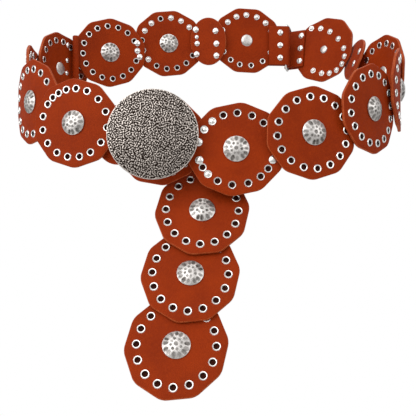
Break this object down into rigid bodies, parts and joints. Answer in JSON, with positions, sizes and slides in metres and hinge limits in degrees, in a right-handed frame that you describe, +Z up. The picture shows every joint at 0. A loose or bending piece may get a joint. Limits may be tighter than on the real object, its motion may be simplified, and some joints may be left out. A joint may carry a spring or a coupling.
{
  "type": "concho belt",
  "caption": "Hip belt of overlapping leather discs with eyelets, hammered studs, a round domed buckle and a hanging tail.",
  "frame": {"origin": "centre of the loop, in its hollow, on the wearer's middle", "axes": "+Z up, the buckle faces -Y, +X to the wearer's left"},
  "size_m": [0.3834, 0.3439, 0.3786],
  "materials": {
    "leather": "smooth rust-brown leather, satin",
    "silver": "hammered antique silver",
    "nickel": "bright nickel"
  },
  "bodies": {
    "root": {"disc_tail_3": "leather", "disc_tail_2": "leather", "disc_tail_1": "leather", "disc_front_1": "leather", "disc_front_2": "leather", "disc_front_3": "leather", "disc_front_4": "leather", "disc_right_1": "leather", "disc_right_2": "leather", "disc_back_1": "leather", "disc_back_2": "leather", "disc_back_3": "leather", "disc_back_4": "leather", "disc_left_1": "leather", "disc_left_2": "leather", "disc_left_3": "leather", "disc_buckle": "leather", "link_back_middle": "leather", "link_back_right": "leather", "link_front_left": "leather", "strap_ring_left": "leather", "strap_ring_right": "leather", "strap_tail": "leather", "buckle": "silver", "buckle_post": "silver", "stud_tail_3": "silver", "stud_tail_2": "silver", "stud_tail_1": "silver", "stud_front_1": "silver", "stud_front_2": "silver", "stud_front_3": "silver", "stud_front_4": "silver", "stud_right_1": "silver", "stud_right_2": "silver", "stud_back_1": "silver", "stud_back_2": "silver", "stud_back_3": "silver", "stud_back_4": "silver", "stud_left_1": "silver", "stud_left_2": "silver", "stud_left_3": "silver", "ring": "nickel"}
  },
  "joints": []
}
